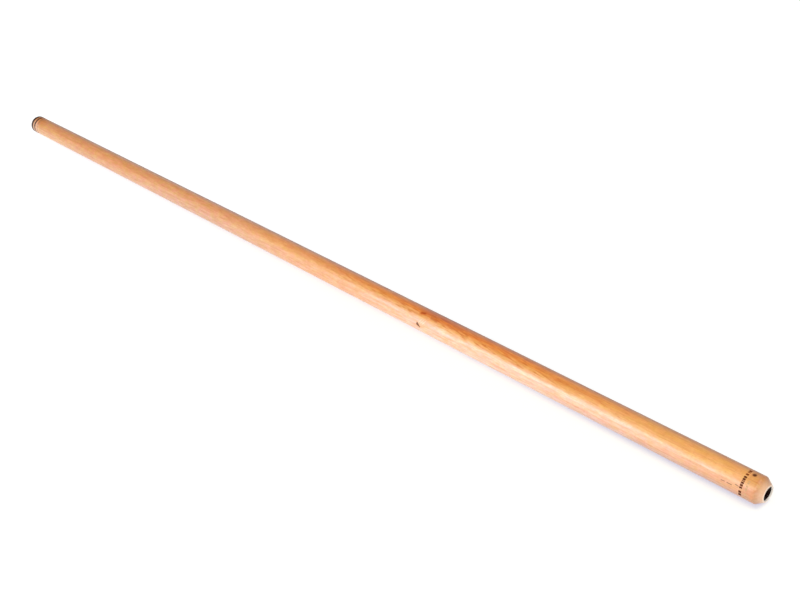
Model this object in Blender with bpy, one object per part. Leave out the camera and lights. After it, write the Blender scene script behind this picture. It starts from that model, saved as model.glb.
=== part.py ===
"""Wooden roller extension pole: a turned shaft with a bored conical nose, a threaded insert pressed
into the nose, and a brad that locks the insert.

Metres, +Z up. The pole lies along X on the plane z = 0, its socket nose at +X. The origin is below
its middle, on that plane. Round pieces are polygons whose flats lie at the stated radius, and one
flat of the shaft faces straight down.
"""

import math

import bmesh
import bpy
from mathutils import Matrix, Vector

# Shaft
POLE_LENGTH = 1.200
POLE_RADIUS = 0.012
SHAFT_SIDES = 48

# Nose: a short cone with a drilled socket
NOSE_LENGTH = 0.0065
TIP_RADIUS = 0.0073
TIP_EDGE = 0.0003
SHOULDER_FILLET = 0.0025
BORE_RADIUS = 0.0063
BORE_DEPTH = 0.030
DRILL_POINT = 0.0036

# Butt: three turned grooves, each (distance from the end, width, depth), and a rounded edge
BUTT_GROOVES = ((0.0177, 0.0018, 0.0003), (0.0110, 0.0028, 0.0007), (0.0042, 0.0030, 0.0008))
GROOVE_STEPS = 4
BUTT_EDGE_RADIUS = 0.0014

# Threaded insert, placed by distances from the nose tip
INSERT_RADIUS = 0.0060
INSERT_SIDES = 24
INSERT_FRONT = 0.0010
INSERT_BACK = 0.0250
COLLAR_END = 0.0034
BARB_ROOT = 0.0054
BARB_PITCH = 0.0027
BARB_STEP = 0.0003
MOUTH_RADIUS = 0.0046
THREAD_START = 0.0020
THREAD_END = 0.0225
THREAD_PITCH = 0.00125
THREAD_MINOR = 0.0034
THREAD_MAJOR = 0.0040
THREAD_STEPS_PER_TURN = 4

# Brad that locks the insert
PIN_FROM_TIP = 0.0128
PIN_ANGLE = math.radians(7)  # about the shaft, from straight up towards -Y
PIN_HEAD_RADIUS = 0.00115
PIN_HEAD_HEIGHT = 0.0008
PIN_SHANK_RADIUS = 0.0008
PIN_POINT_LENGTH = 0.0006
PIN_SUNK = 0.0002
PIN_SIDES = 16
PIN_GROOVE_WIDTH = 0.0030
PIN_GROOVE_RADIUS = 0.0050

FIT_GAP = 0.0003

TIP_X = POLE_LENGTH / 2
BUTT_X = -POLE_LENGTH / 2
AXIS_Z = POLE_RADIUS


def clear_scene():
    for old in list(bpy.data.objects):
        bpy.data.objects.remove(old, do_unlink=True)


def material(name, colour, roughness, metallic=0.0):
    made = bpy.data.materials.new(name)
    made.use_nodes = True
    shader = made.node_tree.nodes["Principled BSDF"]
    shader.inputs["Base Color"].default_value = (*colour, 1.0)
    shader.inputs["Roughness"].default_value = roughness
    shader.inputs["Metallic"].default_value = metallic
    made.diffuse_color = (*colour, 1.0)
    return made


def fillet(before, corner, after, radius, steps=3):
    """Points of the arc that rounds a corner of an outline."""
    before, corner, after = Vector(before), Vector(corner), Vector(after)
    to_before, to_after = (before - corner).normalized(), (after - corner).normalized()
    half_angle = to_before.angle(to_after) / 2
    start = corner + to_before * radius / math.tan(half_angle)
    end = corner + to_after * radius / math.tan(half_angle)
    centre = corner + (to_before + to_after).normalized() * radius / math.sin(half_angle)
    points = []
    for step in range(steps + 1):
        spoke = (start - centre).lerp(end - centre, step / steps).normalized()
        points.append(tuple(centre + spoke * radius))
    return points


def ring(bm, x, radius, sides):
    """Vertices round the X axis. radius is a number, or a function of the angle in turns."""
    if radius == 0:
        return [bm.verts.new((x, 0, 0))]
    corner = 1 / math.cos(math.pi / sides)
    made = []
    for side in range(sides):
        turn = (side + 0.5) / sides
        distance = corner * (radius(turn) if callable(radius) else radius)
        angle = math.tau * turn
        made.append(bm.verts.new((x, distance * math.sin(angle), distance * math.cos(angle))))
    return made


def turned(name, outline, sides, looped=False):
    """A closed solid of revolution about X. The outline's (x, radius) points start and end on the
    axis, or go once round when it is looped."""
    bm = bmesh.new()
    rings = [ring(bm, x, radius, sides) for x, radius in outline]
    pairs = list(zip(rings, rings[1:] + rings[:1])) if looped else list(zip(rings, rings[1:]))
    for first, second in pairs:
        for side in range(sides):
            after = (side + 1) % sides
            if len(first) == 1:
                corners = (first[0], second[side], second[after])
            elif len(second) == 1:
                corners = (first[side], second[0], first[after])
            else:
                corners = (first[side], second[side], second[after], first[after])
            bm.faces.new(corners)
    bmesh.ops.recalc_face_normals(bm, faces=bm.faces)
    mesh = bpy.data.meshes.new(name)
    bm.to_mesh(mesh)
    bm.free()
    mesh.shade_smooth()
    mesh.set_sharp_from_angle(angle=math.radians(35))
    made = bpy.data.objects.new(name, mesh)
    bpy.context.collection.objects.link(made)
    return made


def groove_outline(x, width, depth):
    """A shallow round-bottomed groove, from its nose side to its butt side."""
    points = []
    for step in range(GROOVE_STEPS + 1):
        across = 2 * step / GROOVE_STEPS - 1
        points.append((x - across * width / 2, POLE_RADIUS - depth * (1 - across**2)))
    return points


def shaft_outline():
    shoulder = (TIP_X - NOSE_LENGTH, POLE_RADIUS)
    tip_corner = (TIP_X, TIP_RADIUS)
    butt_corner = (BUTT_X, POLE_RADIUS)
    outline = [
        (TIP_X - BORE_DEPTH - DRILL_POINT, 0),
        (TIP_X - BORE_DEPTH, BORE_RADIUS),
        (TIP_X, BORE_RADIUS),
    ]
    outline += fillet((TIP_X, BORE_RADIUS), tip_corner, shoulder, TIP_EDGE, steps=2)
    outline += fillet(tip_corner, shoulder, (BUTT_X, POLE_RADIUS), SHOULDER_FILLET)
    # Rings on both sides of the brad keep its hole's cut within short faces.
    outline += [(TIP_X - PIN_FROM_TIP + side * 0.0032, POLE_RADIUS) for side in (1, -1)]
    for from_end, width, depth in BUTT_GROOVES:
        outline += groove_outline(BUTT_X + from_end, width, depth)
    outline += fillet((0, POLE_RADIUS), butt_corner, (BUTT_X, 0), BUTT_EDGE_RADIUS)
    outline.append((BUTT_X, 0))
    return outline


def insert_outer_outline():
    """The insert's outside from its back end to its front: barbs that slope towards the back, the
    brad's groove and a plain collar."""
    groove_back = PIN_FROM_TIP + PIN_GROOVE_WIDTH / 2
    groove_front = PIN_FROM_TIP - PIN_GROOVE_WIDTH / 2
    points = [(INSERT_BACK, BARB_ROOT - FIT_GAP)]
    for back, front in ((INSERT_BACK - BARB_STEP, groove_back), (groove_front, COLLAR_END)):
        count = int((back - front) / BARB_PITCH)
        pitch = (back - front) / count
        for barb in range(count):
            root = back - barb * pitch
            points += [(root, BARB_ROOT), (root - pitch + BARB_STEP, INSERT_RADIUS)]
        if front == groove_back:
            points += [(groove_back, PIN_GROOVE_RADIUS), (groove_front + BARB_STEP, PIN_GROOVE_RADIUS)]
    points += [(COLLAR_END, BARB_ROOT), (COLLAR_END - BARB_STEP, INSERT_RADIUS)]
    points.append((INSERT_FRONT, INSERT_RADIUS))
    return [(TIP_X - distance, radius) for distance, radius in points]


def thread_radius(distance):
    """The thread's radius as a function of the angle, at this distance from the nose tip. The
    groove fades in over the first turn and out over the last."""
    ends = min(distance - THREAD_START, THREAD_END - distance) / THREAD_PITCH
    depth = (THREAD_MAJOR - THREAD_MINOR) * max(0.0, min(1.0, ends))

    def radius(turn):
        phase = (distance / THREAD_PITCH - turn) % 1.0
        flank = min(1.0, max(0.0, 1.5 - 4 * abs(phase - 0.5)))
        return THREAD_MINOR + depth * flank

    return radius


def insert_outline():
    mouth = [(TIP_X - INSERT_FRONT, MOUTH_RADIUS), (TIP_X - THREAD_START, THREAD_MINOR)]
    steps = round((THREAD_END - THREAD_START) / THREAD_PITCH * THREAD_STEPS_PER_TURN)
    thread = []
    for step in range(1, steps):
        distance = THREAD_START + (THREAD_END - THREAD_START) * step / steps
        thread.append((TIP_X - distance, thread_radius(distance)))
    back = [(TIP_X - THREAD_END, THREAD_MINOR), (TIP_X - INSERT_BACK, THREAD_MINOR)]
    return mouth + thread + back + insert_outer_outline()


def pin_outline(gap=0.0):
    """The brad along X, its head's top at 0 and its point towards -X. gap widens it into the
    cutter of its hole, which opens above the head."""
    top = PIN_HEAD_HEIGHT if gap else 0.0
    neck = -PIN_HEAD_HEIGHT - gap
    point = -(POLE_RADIUS - PIN_SUNK - PIN_GROOVE_RADIUS - FIT_GAP)
    head, shank = PIN_HEAD_RADIUS + gap, PIN_SHANK_RADIUS + gap
    if gap:
        end = -(POLE_RADIUS - PIN_SUNK)
        return [(end, 0), (end, shank), (neck, shank), (neck, head), (top, head), (top, 0)]
    shoulder = point + PIN_POINT_LENGTH
    return [(point, 0), (point, shank / 2), (shoulder, shank), (neck, shank), (neck, head), (top, head),
            (top, 0)]


def place_pin(piece):
    """Stands the brad, or its cutter, on its radius of the shaft, head outwards."""
    station = Matrix.Translation((TIP_X - PIN_FROM_TIP, 0, AXIS_Z))
    tilt = Matrix.Rotation(PIN_ANGLE, 4, "X")
    seat = Matrix.Translation((0, 0, POLE_RADIUS - PIN_SUNK))
    upright = Matrix.Rotation(-math.pi / 2, 4, "Y")
    piece.matrix_world = station @ tilt @ seat @ upright


def build():
    clear_scene()
    wood = material("varnished_beech", (0.80, 0.50, 0.24), 0.35)
    nylon = material("black_nylon", (0.012, 0.011, 0.011), 0.5)
    steel = material("dark_steel", (0.10, 0.07, 0.05), 0.45, metallic=1.0)

    shaft = turned("shaft", shaft_outline(), SHAFT_SIDES)
    shaft.location.z = AXIS_Z
    shaft.data.materials.append(wood)

    insert = turned("threaded_insert", insert_outline(), INSERT_SIDES, looped=True)
    insert.location.z = AXIS_Z
    insert.data.materials.append(nylon)

    pin = turned("locking_brad", pin_outline(), PIN_SIDES)
    place_pin(pin)
    pin.data.materials.append(steel)

    hole = turned("brad_hole", pin_outline(FIT_GAP), PIN_SIDES)
    place_pin(hole)
    hole.hide_render = True
    hole.display_type = "WIRE"
    cut = shaft.modifiers.new("brad_hole", "BOOLEAN")
    cut.operation = "DIFFERENCE"
    cut.object = hole


build()
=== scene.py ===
"""Looks of the wooden roller extension pole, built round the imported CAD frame.

Places on the shaft are given as a distance from the nose tip and an angle round the shaft, both
measured on the surface: 0 degrees is straight up and 90 degrees faces -Y, towards the camera.
"""

import math
import random

import bmesh
import bpy
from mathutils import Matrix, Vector, noise


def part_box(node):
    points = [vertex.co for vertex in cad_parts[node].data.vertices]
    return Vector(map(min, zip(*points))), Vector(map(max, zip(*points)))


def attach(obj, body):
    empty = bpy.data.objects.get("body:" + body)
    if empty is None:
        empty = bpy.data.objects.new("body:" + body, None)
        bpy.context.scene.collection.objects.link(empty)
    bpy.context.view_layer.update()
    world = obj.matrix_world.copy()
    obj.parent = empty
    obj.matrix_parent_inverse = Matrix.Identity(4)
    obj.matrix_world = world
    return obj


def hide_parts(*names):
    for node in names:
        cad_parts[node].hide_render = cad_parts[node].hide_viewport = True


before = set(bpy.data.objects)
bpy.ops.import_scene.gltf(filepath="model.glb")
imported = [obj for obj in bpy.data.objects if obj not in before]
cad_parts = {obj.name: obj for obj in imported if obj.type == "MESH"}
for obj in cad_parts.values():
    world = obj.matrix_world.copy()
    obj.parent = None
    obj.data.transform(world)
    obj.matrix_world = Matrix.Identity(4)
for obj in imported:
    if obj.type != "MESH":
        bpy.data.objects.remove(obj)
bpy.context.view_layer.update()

MM = 0.001
low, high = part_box("shaft")
TIP_X, BUTT_X = high.x, low.x
LENGTH = TIP_X - BUTT_X
RADIUS = (high.z - low.z) / 2
AXIS_Z = (high.z + low.z) / 2

# Shaft outline, with the CAD shaft's sizes
NOSE_LENGTH = 6.5 * MM
TIP_RADIUS = 7.3 * MM
BORE_RADIUS = 6.3 * MM
BORE_DEPTH = 30 * MM
DRILL_POINT = 3.6 * MM
TIP_EDGE = 0.3 * MM
MOUTH_EDGE = 0.15 * MM
SHOULDER_FILLET = 2.5 * MM
# Each groove: (distance from the butt's end, width, depth)
BUTT_GROOVES = (
    (17.7 * MM, 1.8 * MM, 0.3 * MM),
    (11 * MM, 2.8 * MM, 0.7 * MM),
    (4.2 * MM, 3.0 * MM, 0.8 * MM),
)
GROOVE_STEPS = 12
BUTT_EDGE_RADIUS = 1.4 * MM
AROUND = 256
SHARP_ANGLE = 32

# Growth rings, in metres: the pith lies beside and below the shaft's axis
PITH_ASIDE = 0.034
PITH_BELOW = 0.040
RING_SPACING = 0.0021

# Marks on the wood: (distance from the tip in mm, angle in degrees)
KNOT = (379.5, 86.0)
KNOT_TAIL = (376.2, 97.0)
STAIN = ((379.6, 28.0), (376.0, 23.0))
SPLITS = (((19.4, 77), (22.2, 75)), ((25.2, 85), (29.4, 84)), ((31.5, 84), (34.5, 86)))
BRAD = (12.8, 7.0)
DENT_COUNT = 40

# Rings of print, from and to this distance from the tip in mm, and the ink's depths in the surface
DARK_RING = (16.3, 18.7)
FAINT_RING = (12.2, 13.8)
INK_TOP = 0.004 * MM
INK_BOTTOM = 0.09 * MM

# Burnt grooves: (distance from the butt's end, half width, strength)
SCORCHES = ((11.2, 2.6, 0.96), (17.8, 1.4, 0.38))

FLOOR_SIZE = 80
WORLD_LIGHT = 0.35
CAMERA_LENS = 49.5
CAMERA_FROM_NOSE = (0.3042, -0.6731, 0.530)
CAMERA_AZIMUTH = 46.99
CAMERA_DOWN = 27.86

rng = random.Random(24)


def at(distance, angle, radius=RADIUS):
    """The point at this distance from the tip, angle in degrees and radius."""
    turn = math.radians(angle)
    return Vector((TIP_X - distance, -radius * math.sin(turn), AXIS_Z + radius * math.cos(turn)))


# ---------------------------------------------------------------- node helpers


class Tree:
    """Short ways to add shader nodes. Values are sockets or plain numbers."""

    def __init__(self, name):
        self.material = bpy.data.materials.new(name)
        self.material.use_nodes = True
        self.nodes = self.material.node_tree.nodes
        self.links = self.material.node_tree.links
        self.shader = self.nodes["Principled BSDF"]

    def put(self, socket, value):
        if isinstance(value, bpy.types.NodeSocket):
            self.links.new(value, socket)
        elif isinstance(value, (tuple, list)) and len(value) == 3 and len(socket.default_value) == 4:
            socket.default_value = (*value, 1.0)
        else:
            socket.default_value = value

    def set(self, name, value):
        self.put(self.shader.inputs[name], value)

    def math(self, operation, a, b=0.0, clamp=False):
        node = self.nodes.new("ShaderNodeMath")
        node.operation = operation
        node.use_clamp = clamp
        for socket, value in zip(node.inputs, (a, b)):
            self.put(socket, value)
        return node.outputs[0]

    def vector(self, operation, a, b=(0, 0, 0), scale=None):
        node = self.nodes.new("ShaderNodeVectorMath")
        node.operation = operation
        self.put(node.inputs[0], a)
        self.put(node.inputs[1], b)
        if scale is not None:
            self.put(node.inputs["Scale"], scale)
        return node.outputs["Value" if operation in ("DOT_PRODUCT", "LENGTH") else "Vector"]

    def combine(self, x, y, z):
        node = self.nodes.new("ShaderNodeCombineXYZ")
        for socket, value in zip(node.inputs, (x, y, z)):
            self.put(socket, value)
        return node.outputs[0]

    def separate(self, vector):
        node = self.nodes.new("ShaderNodeSeparateXYZ")
        self.put(node.inputs[0], vector)
        return node.outputs

    def step(self, value, start, end, low=0.0, high=1.0):
        """Goes smoothly from low to high while value goes from start to end."""
        node = self.nodes.new("ShaderNodeMapRange")
        node.interpolation_type = "SMOOTHSTEP"
        if start > end:
            start, end, low, high = end, start, high, low
        for name, number in zip(("From Min", "From Max", "To Min", "To Max"), (start, end, low, high)):
            node.inputs[name].default_value = number
        self.put(node.inputs["Value"], value)
        return node.outputs[0]

    def noise(self, vector, scale=1.0, detail=2.0, roughness=0.5):
        node = self.nodes.new("ShaderNodeTexNoise")
        self.put(node.inputs["Vector"], vector)
        node.inputs["Scale"].default_value = scale
        node.inputs["Detail"].default_value = detail
        node.inputs["Roughness"].default_value = roughness
        return node.outputs["Fac"]

    def cells(self, vector, scale=1.0):
        """Distance to the nearest random point, and a random number for that point."""
        node = self.nodes.new("ShaderNodeTexVoronoi")
        self.put(node.inputs["Vector"], vector)
        node.inputs["Scale"].default_value = scale
        return node.outputs["Distance"], self.separate(node.outputs["Color"])[0]

    def mix(self, share, a, b, blend="MIX"):
        node = self.nodes.new("ShaderNodeMix")
        node.data_type = "RGBA"
        node.blend_type = blend
        self.put(node.inputs[0], share)
        self.put(node.inputs[6], a)
        self.put(node.inputs[7], b)
        return node.outputs[2]

    def tint(self, share, colour, factors):
        """The colour, multiplied by these factors in this share."""
        return self.mix(share, colour, self.mix(1.0, colour, factors, "MULTIPLY"))

    def bump(self, height, strength, distance, normal=None):
        node = self.nodes.new("ShaderNodeBump")
        node.inputs["Strength"].default_value = strength
        node.inputs["Distance"].default_value = distance
        self.put(node.inputs["Height"], height)
        if normal is not None:
            self.put(node.inputs["Normal"], normal)
        return node.outputs[0]

    def place(self):
        """The point in the row frame, in metres."""
        return self.nodes.new("ShaderNodeTexCoord").outputs["Object"]

    def grain(self, along, across, detail=2.0, shift=0.0):
        """Noise drawn out along the pole, with this many features a metre along and across it."""
        stretched = self.vector("MULTIPLY", self.place(), (along, across, across))
        return self.noise(self.vector("ADD", stretched, (shift, shift, shift)), 1.0, detail)

    def around_zero(self, value, size):
        """A noise value moved to lie about 0 and scaled."""
        return self.math("MULTIPLY", self.math("SUBTRACT", value, 0.5), size)


# ---------------------------------------------------------------- materials


def surface_place(t):
    """Distance from the tip in mm, angle round the shaft in degrees, and both as one vector in mm
    measured along the surface."""
    x, y, z = t.separate(t.place())
    distance = t.math("MULTIPLY", t.math("SUBTRACT", TIP_X, x), 1000)
    turn = t.math("ARCTAN2", t.math("MULTIPLY", y, -1), t.math("SUBTRACT", z, AXIS_Z))
    angle = t.math("MULTIPLY", turn, 180 / math.pi)
    round_mm = t.math("MULTIPLY", turn, RADIUS * 1000)
    return distance, angle, t.combine(distance, round_mm, 0)


def on_surface(distance, angle):
    return Vector((distance, math.radians(angle) * RADIUS * 1000, 0))


def streak(t, place, start, end):
    """How far a surface point is from the line between two places, and how far along it lies."""
    start, end = on_surface(*start), on_surface(*end)
    line = end - start
    from_start = t.vector("SUBTRACT", place, start)
    along = t.vector("DOT_PRODUCT", from_start, line)
    along = t.math("DIVIDE", along, line.length_squared, clamp=True)
    nearest = t.vector("SCALE", line, scale=along)
    return t.vector("LENGTH", t.vector("SUBTRACT", from_start, nearest)), along


def varnished_wood():
    t = Tree("varnished_wood")
    distance, angle, place = surface_place(t)
    x, y, z = t.separate(t.place())
    slant = t.combine(0.0, t.math("MULTIPLY", distance, 0.05), 0.0)
    fibres = t.grain(22, 1300, 3.0)
    streaks = t.grain(34, 600)
    figure = t.grain(60, 420, 3.0, 7.0)
    mottle = t.grain(110, 240)
    clouds = t.grain(10, 60)
    along = t.math("ADD", distance, t.around_zero(clouds, 90))
    figured = t.math("MULTIPLY", t.step(along, 60, 290), t.step(along, 640, 330))
    flames = t.noise(t.vector("ADD", t.vector("MULTIPLY", place, (0.07, 0.6, 0)), slant), 1.0, 3.0)
    turn = t.math("ADD", angle, t.math("ADD", t.around_zero(streaks, 16), t.around_zero(clouds, 24)))
    turn = t.math("ADD", turn, t.math("MULTIPLY", figured, t.around_zero(flames, -42)))

    # Honey on top, deepest in the figured length in front of the knot, then golden, and pale below. The
    # deeper top and pale underside are partly the wood's own tone and partly painted: painted shade on top
    # and a painted reflection of the white floor below
    honey, far_honey, deep = (0.83, 0.37, 0.085), (0.79, 0.325, 0.10), (0.81, 0.225, 0.008)
    golden, pale, highlight_cream = (0.86, 0.44, 0.14), (0.75, 0.37, 0.18), (0.85, 0.51, 0.35)
    upper_colour = t.mix(figured, t.mix(t.step(along, 560, 760), honey, far_honey), deep)
    # Painted highlight: a cream band on the lower side near the nose stands in for the front light's broad
    # glow
    painted_highlight = t.math("MULTIPLY", t.step(along, -60, 200), t.step(along, 540, 330))
    lower_colour = t.mix(painted_highlight, pale, highlight_cream)
    golden_now = t.mix(t.step(along, 560, 760), golden, t.mix(0.5, far_honey, pale))
    colour = t.mix(t.step(turn, 14, 44), upper_colour, golden_now)
    colour = t.mix(t.step(turn, 34, 72), colour, lower_colour)
    dark_flames = t.math("MULTIPLY", figured, t.step(flames, 0.48, 0.68, 0.0, 0.65))
    dark_flames = t.math("MULTIPLY", dark_flames, t.step(angle, 62, 44))
    colour = t.mix(dark_flames, colour, (0.60, 0.125, 0.002))
    light_flames = t.math("MULTIPLY", figured, t.step(flames, 0.48, 0.32, 0.0, 0.5))
    light_flames = t.math("MULTIPLY", light_flames, t.step(angle, 56, 40))
    colour = t.mix(light_flames, colour, (0.88, 0.31, 0.02))
    # Painted shade: a darker, greyer band along the top edge that fades round the back, and a thin dark
    # line at the top silhouette, standing in for the dim light and dark reflections there
    behind = t.math("ADD", angle, t.math("ADD", t.around_zero(clouds, 50), t.around_zero(streaks, 24)))
    painted_edge_shade = t.math("MULTIPLY", t.step(angle, 10, -16, 0.0, 0.50), t.step(behind, -80, -40))
    painted_edge_shade_colour = t.mix(t.step(distance, 330, 480), (0.44, 0.16, 0.08), (0.50, 0.25, 0.18))
    colour = t.mix(painted_edge_shade, colour, painted_edge_shade_colour)
    outline = t.math("MULTIPLY", t.step(angle, -12, -26, 0.0, 0.55), t.step(behind, -66, -38))
    colour = t.mix(outline, colour, (0.36, 0.10, 0.06))
    wavy = t.math("ADD", distance, t.around_zero(flames, 60))
    browner = t.math("MULTIPLY", t.step(wavy, 310, 345), t.step(wavy, 392, 372))
    browner = t.math("MULTIPLY", browner, t.step(angle, 42, 8))
    colour = t.tint(browner, colour, (0.87, 0.75, 0.78))
    redder = t.math("MULTIPLY", t.step(wavy, 225, 270), t.step(wavy, 345, 300))
    redder = t.math("MULTIPLY", redder, t.math("MULTIPLY", t.step(angle, 2, 20), t.step(angle, 54, 34)))
    colour = t.tint(redder, colour, (0.99, 0.93, 0.76))
    middle = t.math("MULTIPLY", t.step(distance, 430, 520), t.step(distance, 760, 640))
    middle = t.math("MULTIPLY", middle, t.step(angle, 60, 30))
    colour = t.tint(middle, colour, (0.98, 0.90, 1.04))
    # Painted shade: the lower side is darker and less whitish towards the butt, far from the lamps
    painted_shade_far_below = t.math("MULTIPLY", t.step(distance, 500, 760), t.step(angle, 25, 110))
    colour = t.tint(painted_shade_far_below, colour, (0.79, 0.84, 0.96))
    painted_shade_farther_below = t.math("MULTIPLY", t.step(distance, 780, 980), t.step(angle, 5, 70))
    colour = t.tint(painted_shade_farther_below, colour, (1.03, 0.94, 0.72))
    near_butt = t.math("MULTIPLY", t.step(distance, 1040, 1130), t.step(angle, 0, 30))
    colour = t.tint(near_butt, colour, (1.06, 1.09, 1.02))
    near_below = t.math("MULTIPLY", t.step(distance, 340, 100), t.step(angle, 78, 98))
    colour = t.tint(near_below, colour, (0.93, 0.87, 0.80))
    # Painted shade: the underside near the nose is darker and cooler, beside the floor's shade
    painted_shade_near_bottom = t.math("MULTIPLY", t.step(distance, 320, 80), t.step(angle, 88, 118))
    colour = t.tint(painted_shade_near_bottom, colour, (0.84, 0.93, 1.14))
    tint = t.mix(t.step(mottle, 0.32, 0.68), (0.98, 1.07, 0.85), (1.03, 0.93, 1.16))
    colour = t.mix(t.step(distance, 500, 800, 0.5, 0.9), colour, tint, "MULTIPLY")
    shade = t.mix(t.step(figure, 0.30, 0.70), (1.06, 1.12, 1.20), (0.93, 0.86, 0.74))
    colour = t.mix(t.step(distance, 80, 300, 0.55, 0.9), colour, shade, "MULTIPLY")

    speckle = t.grain(230, 560, 3.0, 3.0)
    spot = t.mix(t.step(speckle, 0.34, 0.66), (0.95, 0.86, 0.70), (1.04, 1.10, 1.22))
    colour = t.mix(0.5, colour, spot, "MULTIPLY")

    # Growth rings round a pith that lies outside the shaft, and wander along it
    wander = t.around_zero(t.noise(t.combine(t.math("MULTIPLY", x, 4.0), 0.0, 0.0), 1.0, 1.0), 0.010)
    side = t.math("ADD", t.math("SUBTRACT", y, PITH_ASIDE), wander)
    up = t.math("ADD", t.math("SUBTRACT", z, AXIS_Z - PITH_BELOW), wander)
    pith = t.math("SQRT", t.math("ADD", t.math("POWER", side, 2), t.math("POWER", up, 2)))
    pith = t.math("ADD", pith, t.around_zero(t.grain(14, 160), 0.0022))
    rings = t.math("FRACT", t.math("DIVIDE", pith, RING_SPACING))
    late_wood = t.math("MULTIPLY", t.step(rings, 0.35, 0.93), t.step(rings, 1.0, 0.95))

    # Fibres, long and thin, and short ray flecks
    fleck_near, fleck_kind = t.cells(t.vector("MULTIPLY", t.place(), (300, 1500, 1500)))
    flecks = t.math("MULTIPLY", t.step(fleck_near, 0.42, 0.12), t.step(fleck_kind, 0.55, 0.75))
    darker, lighter = (0.80, 0.66, 0.50), (1.10, 1.20, 1.35)
    colour = t.tint(t.math("MULTIPLY", late_wood, 0.30), colour, darker)
    dark_fibres = t.step(fibres, 0.52, 0.74, 0.0, 0.58)
    colour = t.tint(dark_fibres, colour, darker)
    light_fibres = t.step(fibres, 0.48, 0.28, 0.0, 0.48)
    colour = t.tint(light_fibres, colour, lighter)
    colour = t.tint(t.math("MULTIPLY", flecks, 0.42), colour, (0.66, 0.50, 0.36))

    # Painted shade darkens the last 18 mm and the shoulder's rounding, with patches of the wood's own
    # reddish colour round the shoulder. The nose's cut grain is darker by the shoulder and paler towards
    # its tip, partly its own colour and partly painted shade and highlight; raw wood shows at the rim and
    # in the mouth
    facing = t.nodes.new("ShaderNodeNewGeometry").outputs["Normal"]
    end_grain = t.step(t.math("ABSOLUTE", t.separate(facing)[0]), 0.25, 0.95)
    # Painted shade: darker over the last 18 mm and along the shoulder's rounding
    worn_and_painted_shade = t.step(t.math("ADD", distance, t.around_zero(clouds, 6)), 18, 14, 0.0, 0.75)
    off_shoulder = t.math("ABSOLUTE", t.math("SUBTRACT", distance, 6.6))
    worn_and_painted_shade = t.math("ADD", worn_and_painted_shade, t.step(off_shoulder, 1.8, 0.4, 0.0, 0.9))
    colour = t.tint(worn_and_painted_shade, colour, (0.88, 0.83, 0.80))
    patches = t.step(t.noise(place, 0.16, 2.0), 0.46, 0.60, 0.0, 0.7)
    off_nose_edge = t.math("ABSOLUTE", t.math("SUBTRACT", distance, NOSE_LENGTH / MM))
    patches = t.math("MULTIPLY", patches, t.step(off_nose_edge, 5.0, 1.0))
    colour = t.mix(patches, colour, (0.66, 0.25, 0.09))
    # The cut grain's own colour, with painted shade by the shoulder and a painted highlight towards the tip
    nose = t.math("MULTIPLY", t.step(distance, 7.5, 2.5, 0.0, 0.75), t.step(fibres, 0.35, 0.60, 0.55, 1.0))
    nose_colour = t.mix(t.step(distance, 6.0, 1.2), (0.62, 0.31, 0.15), (0.80, 0.52, 0.34))
    colour = t.mix(nose, colour, nose_colour)
    colour = t.mix(t.step(distance, 0.75, 0.30, 0.0, 0.85), colour, (0.90, 0.66, 0.50))
    off_axis = t.vector("LENGTH", t.combine(0.0, y, t.math("SUBTRACT", z, AXIS_Z)))
    mouth = t.math("MULTIPLY", t.step(off_axis, 0.0067, 0.0064), t.step(distance, 1.6, 1.3))
    colour = t.mix(mouth, colour, (0.96, 0.88, 0.80))

    # The stained fibres in front of the knot
    stain_near, _ = streak(t, place, *STAIN)
    stain_near = t.math("ADD", stain_near, t.around_zero(flames, 1.5))
    colour = t.mix(t.step(stain_near, 4.2, 0.8, 0.0, 0.75), colour, (0.62, 0.12, 0.0))
    colour = t.mix(t.step(stain_near, 1.5, 0.0, 0.0, 0.9), colour, (0.40, 0.045, 0.0))
    for start, end, width, share in (((366, 30), (358, 34), 1.3, 0.5), ((338, 12), (326, 16), 1.5, 0.4)):
        near, _ = streak(t, place, start, end)
        near = t.math("ADD", near, t.around_zero(flames, 4.0))
        colour = t.mix(t.step(near, width, width * 0.3, 0.0, share), colour, (0.45, 0.070, 0.0))

    # The pin knot with its tail, pale fibres that bend round it, and splits behind the print
    rough_edge = t.around_zero(t.noise(t.vector("MULTIPLY", place, (1.6, 1.6, 0)), 1.0, 3.0), 1.2)
    knot_near, knot_along = streak(t, place, KNOT, KNOT_TAIL)
    knot_near = t.math("ADD", t.math("ADD", knot_near, rough_edge), t.math("MULTIPLY", knot_along, 0.95))
    colour = t.mix(t.step(knot_near, 3.0, 1.0, 0.0, 0.40), colour, (0.52, 0.22, 0.08))
    colour = t.mix(t.step(knot_near, 1.75, 1.1, 0.0, 0.97), colour, (0.135, 0.030, 0.004))
    for shift in (0.0, 2.6, 5.2):
        start, end = (KNOT[0] - 1.5 - shift, KNOT[1] - 9), (KNOT[0] - 4.5 - shift, KNOT[1] - 31)
        near, _ = streak(t, place, start, end)
        colour = t.mix(t.step(near, 0.6, 0.15, 0.0, 0.45), colour, (0.95, 0.76, 0.60))
    brad_near = t.vector("LENGTH", t.vector("SUBTRACT", place, on_surface(*BRAD)))
    colour = t.mix(t.step(brad_near, 2.4, 1.2, 0.0, 0.90), colour, (0.19, 0.048, 0.006))
    for start, end in SPLITS:
        split, _ = streak(t, place, start, end)
        colour = t.mix(t.step(split, 0.50, 0.15, 0.0, 0.82), colour, (0.13, 0.038, 0.010))

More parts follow.
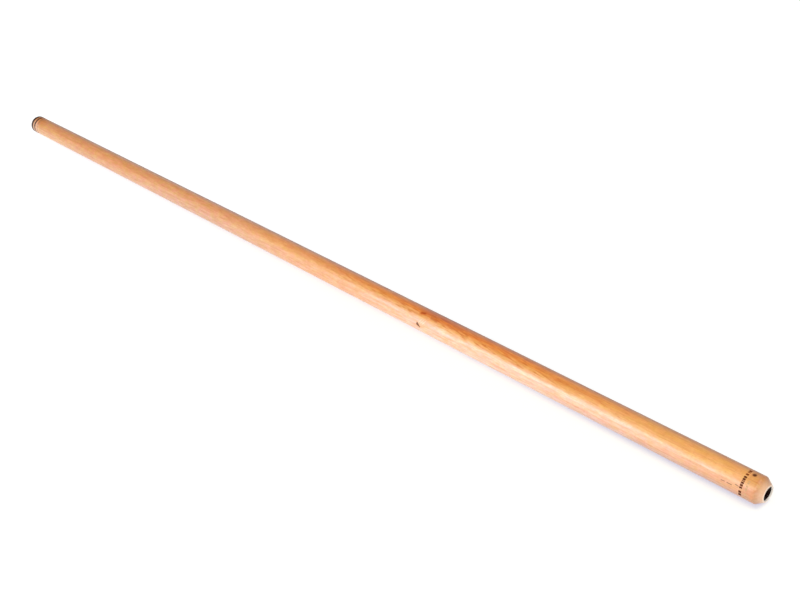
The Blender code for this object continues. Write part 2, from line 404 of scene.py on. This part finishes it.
    # Scorched grooves and edge at the butt
    from_butt = t.math("SUBTRACT", LENGTH * 1000, distance)
    ragged = t.math("ADD", from_butt, t.around_zero(t.noise(place, 0.35, 3.0), 0.9))
    scorch = t.step(ragged, 7.0, 5.8, 0.0, 0.97)
    for middle, half_width, share in SCORCHES:
        off = t.math("ABSOLUTE", t.math("SUBTRACT", ragged, middle))
        scorch = t.math("MAXIMUM", scorch, t.step(off, half_width, half_width * 0.45, 0.0, share))
    between = t.step(t.math("ABSOLUTE", t.math("SUBTRACT", from_butt, 11.0)), 9.0, 5.5, 0.0, 0.45)
    colour = t.mix(between, colour, (0.86, 0.50, 0.36))
    halo = t.math("MULTIPLY", t.step(from_butt, 44, 20, 0.0, 0.85), t.step(angle, 60, 15))
    colour = t.mix(halo, colour, (0.70, 0.205, 0.0))
    colour = t.mix(scorch, colour, (0.045, 0.017, 0.009))
    t.set("Base Color", colour)

    # Satin wood under a soft gloss coat, which thins out over the knot, brad, stain and scorching
    satin = t.step(fibres, 0.3, 0.7, 0.44, 0.56)
    t.set("Roughness", t.math("ADD", satin, t.math("MULTIPLY", end_grain, 0.12)))
    marked = t.math("ADD", t.step(knot_near, 2.2, 1.2), t.step(brad_near, 2.3, 1.3), clamp=True)
    marked = t.math("ADD", marked, t.step(stain_near, 2.0, 0.8), clamp=True)
    marked = t.math("ADD", marked, scorch, clamp=True)
    t.set("Coat Weight", t.math("SUBTRACT", 0.75, t.math("MULTIPLY", marked, 0.7)))
    t.set("Coat IOR", 1.5)
    t.set("Coat Roughness", 0.34)
    relief = t.math("SUBTRACT", t.math("MULTIPLY", fibres, 0.6), t.math("MULTIPLY", flecks, 0.5))
    relief = t.math("SUBTRACT", relief, t.math("MULTIPLY", late_wood, 0.25))
    t.set("Normal", t.bump(relief, 0.35, 0.00006))
    waves = t.bump(streaks, 0.45, 0.00010)
    t.set("Coat Normal", t.bump(t.noise(t.place(), 420, 2.0), 0.15, 0.00008, waves))
    return t.material


def black_nylon():
    t = Tree("black_nylon")
    place = t.place()
    grain = t.noise(place, 3200, 3.0)
    wear = t.noise(place, 420, 3.0)
    t.set("Base Color", t.mix(t.step(wear, 0.45, 0.75), (0.008, 0.0012, 0.0006), (0.016, 0.0035, 0.002)))
    t.set("Roughness", t.step(grain, 0.3, 0.7, 0.50, 0.65))
    t.set("Specular IOR Level", 0.06)
    t.set("Normal", t.bump(grain, 0.3, 0.00004))
    return t.material


def browned_steel():
    t = Tree("browned_steel")
    place = t.place()
    spots = t.noise(place, 1800, 4.0, 0.6)
    t.set("Base Color", t.mix(t.step(spots, 0.35, 0.70), (0.11, 0.028, 0.003), (0.15, 0.042, 0.008)))
    t.set("Metallic", t.step(spots, 0.75, 0.35, 0.02, 0.12))
    t.set("Specular IOR Level", 0.2)
    t.set("Roughness", t.step(spots, 0.3, 0.7, 0.50, 0.75))
    t.set("Normal", t.bump(spots, 0.4, 0.00005))
    return t.material


def worn_ink(name, ink, worn_and_painted_shade, gaps):
    """Stamped ink with the wood showing through where it has rubbed off."""
    t = Tree(name)
    rubbed = t.noise(t.vector("MULTIPLY", t.place(), (500, 1500, 1500)), 1.0, 3.0)
    t.set("Base Color", t.mix(t.step(rubbed, gaps, gaps + 0.2, 0.0, 0.7), ink, worn_and_painted_shade))
    t.set("Roughness", 0.7)
    t.set("Specular IOR Level", 0.15)
    t.set("Normal", t.bump(rubbed, 0.3, 0.00003))
    return t.material


# ---------------------------------------------------------------- turned pieces


def fillet(before, corner, after, radius, steps):
    """Points of the arc that rounds a corner of an outline."""
    before, corner, after = Vector(before), Vector(corner), Vector(after)
    to_before, to_after = (before - corner).normalized(), (after - corner).normalized()
    half_angle = to_before.angle(to_after) / 2
    start = corner + to_before * radius / math.tan(half_angle)
    end = corner + to_after * radius / math.tan(half_angle)
    centre = corner + (to_before + to_after).normalized() * radius / math.sin(half_angle)
    points = []
    for step in range(steps + 1):
        spoke = (start - centre).lerp(end - centre, step / steps).normalized()
        points.append(tuple(centre + spoke * radius))
    return points


def run(start, end, spacing):
    """Points after start, up to and including end, no further apart than spacing."""
    start, end = Vector(start), Vector(end)
    count = max(1, math.ceil((end - start).length / spacing))
    return [tuple(start.lerp(end, step / count)) for step in range(1, count + 1)]


def extend(outline, points, spacing):
    """Adds points to an outline, and more between them where they are far apart."""
    for point in points:
        outline += run(outline[-1], point, spacing)


def turned(name, outline, sides, shift=None, looped=False):
    """A closed solid turned about the shaft's axis. Its outline is (distance from tip, radius)
    points; a radius can be a function of the angle in degrees, and shift moves a point in or out."""
    vertices, rings = [], []
    for distance, radius in outline:
        if radius == 0:
            rings.append([len(vertices)])
            vertices.append(at(distance, 0, 0))
            continue
        first = len(vertices)
        for side in range(sides):
            angle = 360 * side / sides
            here = radius(angle) if callable(radius) else radius
            if shift:
                here += shift(distance, angle, here)
            vertices.append(at(distance, angle, here))
        rings.append(list(range(first, first + sides)))
    faces = []
    following = rings[1:] + rings[:1] if looped else rings[1:]
    for one, two in zip(rings, following):
        for side in range(sides):
            after = (side + 1) % sides
            if len(one) == 1:
                faces.append((one[0], two[side], two[after]))
            elif len(two) == 1:
                faces.append((one[side], two[0], one[after]))
            else:
                faces.append((one[side], two[side], two[after], one[after]))
    return solid(name, vertices, faces)


def solid(name, vertices, faces):
    mesh = bpy.data.meshes.new(name)
    mesh.from_pydata(vertices, [], faces)
    bm = bmesh.new()
    bm.from_mesh(mesh)
    bmesh.ops.recalc_face_normals(bm, faces=bm.faces)
    bm.to_mesh(mesh)
    bm.free()
    mesh.shade_smooth()
    mesh.set_sharp_from_angle(angle=math.radians(SHARP_ANGLE))
    made = bpy.data.objects.new(name, mesh)
    bpy.context.collection.objects.link(made)
    return made


def finished(piece, material, node=None):
    piece.data.materials.clear()
    piece.data.materials.append(material)
    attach(piece, "root")
    if node:
        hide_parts(node)


# ---------------------------------------------------------------- shaft


def shaft_outline():
    """From the bottom of the bore out of the nose, along the shaft and round the butt."""
    tip, shoulder, butt = (0, TIP_RADIUS), (NOSE_LENGTH, RADIUS), (LENGTH, RADIUS)
    outline = [(BORE_DEPTH + DRILL_POINT, 0)]
    inside_mouth, mouth = (TIP_EDGE, BORE_RADIUS), (0, BORE_RADIUS)
    extend(outline, [(BORE_DEPTH, BORE_RADIUS), inside_mouth], 2 * MM)
    extend(outline, fillet(inside_mouth, mouth, tip, MOUTH_EDGE, 3), 1 * MM)
    extend(outline, fillet(mouth, tip, shoulder, TIP_EDGE, 4), 0.4 * MM)
    extend(outline, fillet(tip, shoulder, butt, SHOULDER_FILLET, 6), 0.7 * MM)
    extend(outline, [(10.5 * MM, RADIUS), (15.5 * MM, RADIUS)], 0.5 * MM)
    before_knot, after_knot = (KNOT_TAIL[0] - 4) * MM, (KNOT[0] + 4) * MM
    extend(outline, [(before_knot, RADIUS)], 6 * MM)
    extend(outline, [(after_knot, RADIUS)], 0.35 * MM)
    for from_end, width, depth in BUTT_GROOVES:
        middle = LENGTH - from_end
        extend(outline, [(middle - width / 2, RADIUS)], 6 * MM)
        for step in range(1, GROOVE_STEPS + 1):
            across = 2 * step / GROOVE_STEPS - 1
            outline.append((middle + across * width / 2, RADIUS - depth * (1 - across**2)))
    extend(outline, fillet((0, RADIUS), butt, (LENGTH, 0), BUTT_EDGE_RADIUS, 6), 1 * MM)
    extend(outline, [(LENGTH, 0.6 * MM)], 1.5 * MM)
    outline.append((LENGTH, 0))
    return outline


def dents():
    """Small knocks on the varnish, as (place, radius, depth), all in mm."""
    made = []
    for _ in range(DENT_COUNT):
        place = on_surface(rng.uniform(9, 1178), rng.uniform(-180, 180))
        made.append((place, rng.uniform(0.9, 2.2), rng.uniform(0.02, 0.06)))
    return made


DENTS = dents()


def relief(distance, angle, radius):
    """The turned and sanded surface isn't quite true: slow waves, knocks and the sunken knot."""
    if radius < BORE_RADIUS + 0.2 * MM:
        return 0.0
    turn = math.radians(angle)
    round_it = Vector((math.cos(turn), math.sin(turn)))
    slow = noise.noise(Vector((distance * 14, round_it.x * 1.1, round_it.y * 1.1)))
    quick = noise.noise(Vector((distance * 55, round_it.x * 2.4, round_it.y * 2.4)))
    depth = 0.012 + 0.045 * (0.5 - 0.5 * slow) + 0.012 * (0.5 - 0.5 * quick)
    signed = (angle + 180) % 360 - 180
    here = on_surface(distance / MM, signed)
    for place, size, deep in DENTS:
        if abs(here.x - place.x) < 2 * size and abs(here.y - place.y) < 2 * size:
            depth += deep * math.exp(-((here - place).length / size) ** 2 * 2)
    knot, tail = on_surface(*KNOT), on_surface(*KNOT_TAIL)
    if abs(here.x - knot.x) < 12 and abs(here.y - knot.y) < 12:
        line = tail - knot
        along = max(0.0, min(1.0, (here - knot).dot(line) / line.length_squared))
        off = (here - knot - line * along).length
        depth += 0.12 * (1 - 0.6 * along) * math.exp(-((off / 0.9) ** 2))
        depth -= 0.035 * math.exp(-((off - 2.2) ** 2))
    return -max(depth, 0.0) * MM


def make_shaft(wood):
    shaft = turned("pole_shaft", shaft_outline(), AROUND, shift=relief)
    hole_outline = ((1.4, 1.25), (-1.25, 1.25), (-1.25, 0.9), (-6.6, 0.9))
    hole = turned_radially("brad_hole", hole_outline, 48)
    cut = shaft.modifiers.new("brad_hole", "BOOLEAN")
    cut.operation = "DIFFERENCE"
    cut.object = hole
    depsgraph = bpy.context.evaluated_depsgraph_get()
    drilled = bpy.data.meshes.new_from_object(shaft.evaluated_get(depsgraph))
    shaft.modifiers.clear()
    shaft.data = drilled
    bpy.data.objects.remove(hole)
    finished(shaft, wood, "shaft")


def turned_radially(name, outline, sides):
    """A closed solid turned about the brad's own axis. Its outline is (height above the shaft's
    surface, radius) points in mm, from its top down."""
    distance, angle = BRAD
    foot = at(distance * MM, angle)
    outwards = (foot - at(distance * MM, 0, 0)).normalized()
    across = Vector((1, 0, 0))
    third = outwards.cross(across)
    vertices = []
    for height, radius in outline:
        for side in range(sides):
            turn = math.tau * side / sides
            spoke = across * math.cos(turn) + third * math.sin(turn)
            vertices.append(foot + outwards * height * MM + spoke * radius * MM)
    faces = [tuple(range(sides)), tuple(range(len(vertices) - sides, len(vertices)))]
    for level in range(len(outline) - 1):
        for side in range(sides):
            after = (side + 1) % sides
            here, below = level * sides, (level + 1) * sides
            faces.append((here + side, here + after, below + after, below + side))
    return solid(name, vertices, faces)


# ---------------------------------------------------------------- insert, brad and print


def make_insert(nylon):
    """A barbed tube with an M8 thread, a plain collar and a groove for the brad."""
    front, back, collar_end = 1.0, 25.0, 3.4
    groove = (BRAD[0] - 1.5, BRAD[0] + 1.5)
    thread_start, thread_end, pitch, minor, major = 2.0, 22.5, 1.25, 3.4, 4.0

    def thread(distance):
        ends = min(distance - thread_start, thread_end - distance) / pitch
        depth = (major - minor) * max(0.0, min(1.0, ends))

        def radius(angle):
            phase = (distance / pitch + angle / 360) % 1.0
            flank = min(1.0, max(0.0, 1.45 - 3.4 * abs(phase - 0.5)))
            return (minor + depth * flank) * MM

        return radius

    outline = fillet((back, 5.0), (front, 5.98), (front, 4.75), 0.25, 4)
    outline += fillet((front, 5.98), (front, 4.6), (thread_start, minor), 0.2, 3)
    outline = [(distance * MM, radius * MM) for distance, radius in outline]
    steps = round((thread_end - thread_start) / pitch * 12)
    for step in range(steps + 1):
        distance = thread_start + (thread_end - thread_start) * step / steps
        outline.append((distance * MM, thread(distance)))
    outer = [(back, minor), (back, 4.9), (back - 0.4, 5.3)]
    for start, end in ((back - 0.4, groove[1]), (groove[0], collar_end)):
        count = int((start - end) / 2.7)
        size = (start - end) / count
        for barb in range(count):
            root = start - barb * size
            outer += [(root, 5.4), (root - size + 0.35, 5.95), (root - size + 0.2, 5.98)]
        if end == groove[1]:
            outer += [(groove[1], 5.0), (groove[0], 5.0)]
    outer += [(collar_end, 5.4), (collar_end - 0.2, 5.98)]
    outline += [(distance * MM, radius * MM) for distance, radius in outer]
    insert = turned("socket_insert", outline, 96, looped=True)
    finished(insert, nylon, "threaded_insert")


def make_brad(steel):
    """A brad with a slightly domed head, punched just under the surface."""
    dome = [(-0.16 - 0.10 * (radius / 1.15) ** 2, radius) for radius in (0.1, 0.4, 0.7, 0.95, 1.08)]
    head = [(-0.34, 1.14), (-0.9, 1.14), (-1.05, 1.0)]
    shank = [(-1.15, 0.82), (-6.0, 0.82), (-6.6, 0.3)]
    brad = turned_radially("brad", [*dome, *head, *shank], 48)
    finished(brad, steel, "locking_brad")


def marks(name, strips, material):
    """Thin curved patches of ink, each (start and end distance in mm, start and end angle)."""
    under, over = RADIUS - INK_BOTTOM, RADIUS - INK_TOP
    vertices, faces = [], []
    for start, end, first, last in strips:
        steps = max(1, math.ceil((last - first) / 2.0))
        base = len(vertices)
        for step in range(steps + 1):
            angle = first + (last - first) * step / steps
            for distance, radius in ((start, over), (end, over), (end, under), (start, under)):
                vertices.append(at(distance * MM, angle, radius))
        for step in range(steps):
            here, after = base + 4 * step, base + 4 * step + 4
            for corner in range(4):
                along = (corner + 1) % 4
                faces.append((here + corner, here + along, after + along, after + corner))
        faces.append(tuple(base + corner for corner in range(4)))
        faces.append(tuple(base + 4 * steps + corner for corner in range(4)))
    finished(solid(name, vertices, faces), material)


def make_print():
    """Two rings of plain stamped bars behind the nose: a dark one, browner on top, and a faint one."""
    brown, dark, faint = [], [], []
    groups = ((-7, 10, brown), (16, 24, brown), (29, 52, dark), (54, 81, dark), (91, 118, dark))
    for first, last, strips in groups:
        angle = first
        while angle < last - 1:
            width = rng.choice((8.0, 9.0, 11.0))
            strips.append((*DARK_RING, angle, min(angle + width, last)))
            angle += width + rng.choice((1.8, 2.4, 3.0))
    for first, last in ((40, 54), (60, 82), (92, 102)):
        angle = first
        while angle < last - 2:
            width = rng.choice((4.0, 6.0))
            faint.append((*FAINT_RING, angle, min(angle + width, last)))
            angle += width + rng.choice((1.5, 3.0))
    marks("brown_bars", brown, worn_ink("brown_ink", (0.22, 0.050, 0.006), (0.34, 0.11, 0.025), 0.60))
    marks("dark_bars", dark, worn_ink("dark_ink", (0.105, 0.022, 0.006), (0.19, 0.050, 0.016), 0.62))
    marks("faint_bars", faint, worn_ink("faint_ink", (0.54, 0.34, 0.17), (0.68, 0.44, 0.26), 0.42))


# ---------------------------------------------------------------- stage


def make_floor():
    bpy.ops.mesh.primitive_plane_add(size=FLOOR_SIZE, location=(0, 0, 0))
    floor = bpy.context.object
    floor.name = "floor"
    t = Tree("white_floor")
    t.set("Base Color", (0.43, 0.47, 0.38))
    t.set("Roughness", 0.9)
    t.set("Specular IOR Level", 0.0)
    off_nose = t.vector("LENGTH", t.vector("SUBTRACT", t.place(), (TIP_X, 0, 0)))
    x, y, _ = t.separate(t.place())
    # Painted shadow: the floor's glow is dimmer and lavender in a narrow band along the pole's foot, weaker
    # towards the butt
    foot = t.math("MULTIPLY", t.step(t.math("ABSOLUTE", y), 0.0135, 0.005), t.step(x, BUTT_X, BUTT_X + 0.1))
    foot = t.math("MULTIPLY", foot, t.step(x, TIP_X + 0.002, TIP_X - 0.006))
    foot = t.math("MULTIPLY", foot, t.step(off_nose, 0.05, 0.5, 1.0, 0.4))
    t.set("Emission Color", t.mix(foot, (0.95, 0.93, 1.0), (0.60, 0.61, 0.84)))
    # Painted light: the floor glows brighter away from the nose and just behind the pole, filling the key
    # light's shadow there and the lamps' falloff
    glow = t.math("ADD", t.step(off_nose, 0.1, 1.3, 0.68, 0.84), t.step(y, 0.0, 0.04, 0.0, 0.06))
    t.set("Emission Strength", t.math("ADD", glow, t.step(off_nose, 1.6, 3.0, 0.0, 0.2)))
    floor.data.materials.append(t.material)


def softbox(name, place, target, width, height, radiance, colour=(1, 1, 1)):
    """A rectangular lamp of even brightness. radiance 1 is as bright as a white surface."""
    light = bpy.data.lights.new(name, "AREA")
    light.shape = "RECTANGLE"
    light.size, light.size_y = width, height
    light.energy = radiance * math.pi * width * height
    light.color = colour
    lamp = bpy.data.objects.new(name, light)
    lamp.location = place
    lamp.rotation_euler = (Vector(target) - Vector(place)).to_track_quat("-Z", "Y").to_euler()
    bpy.context.collection.objects.link(lamp)


def make_lights():
    softbox("key_box", (1.5, -1.9, 1.6), (0.1, 0, 0), 1.6, 1.6, 3.8)
    softbox("nose_box", (0.85, 0.12, 0.62), (0.55, 0, 0), 0.35, 0.35, 3.0)
    softbox("front_box", (-0.30, -1.33, 0.35), (0.40, 0, 0), 0.80, 0.58, 7.3, (1.0, 0.985, 0.98))
    softbox("back_box", (-0.75, 0.68, 0.50), (-0.75, 0, 0), 2.20, 0.50, 0.55)
    world = bpy.data.worlds.new("studio")
    world.use_nodes = True
    nodes, links = world.node_tree.nodes, world.node_tree.links
    nodes["Background"].inputs["Color"].default_value = (1, 1, 1, 1)
    seen = nodes.new("ShaderNodeMath")
    seen.operation = "MAXIMUM"
    seen.inputs[1].default_value = WORLD_LIGHT
    links.new(nodes.new("ShaderNodeLightPath").outputs["Is Camera Ray"], seen.inputs[0])
    links.new(seen.outputs[0], nodes["Background"].inputs["Strength"])
    bpy.context.scene.world = world


def make_camera():
    """Stands on the nose's side of the pole and looks down along it."""
    camera = bpy.data.cameras.new("camera")
    camera.lens = CAMERA_LENS
    camera.sensor_width = 36
    camera.clip_start, camera.clip_end = 0.05, 50
    made = bpy.data.objects.new("camera", camera)
    made.location = Vector((TIP_X, 0, AXIS_Z)) + Vector(CAMERA_FROM_NOSE)
    azimuth, down = math.radians(CAMERA_AZIMUTH), math.radians(CAMERA_DOWN)
    level = math.cos(down)
    forward = Vector((-math.sin(azimuth) * level, math.cos(azimuth) * level, -math.sin(down)))
    made.rotation_euler = forward.to_track_quat("-Z", "Y").to_euler()
    bpy.context.collection.objects.link(made)
    bpy.context.scene.camera = made


bpy.context.scene.view_settings.view_transform = "Standard"
make_camera()
make_floor()
make_lights()
make_shaft(varnished_wood())
make_insert(black_nylon())
make_brad(browned_steel())
make_print()
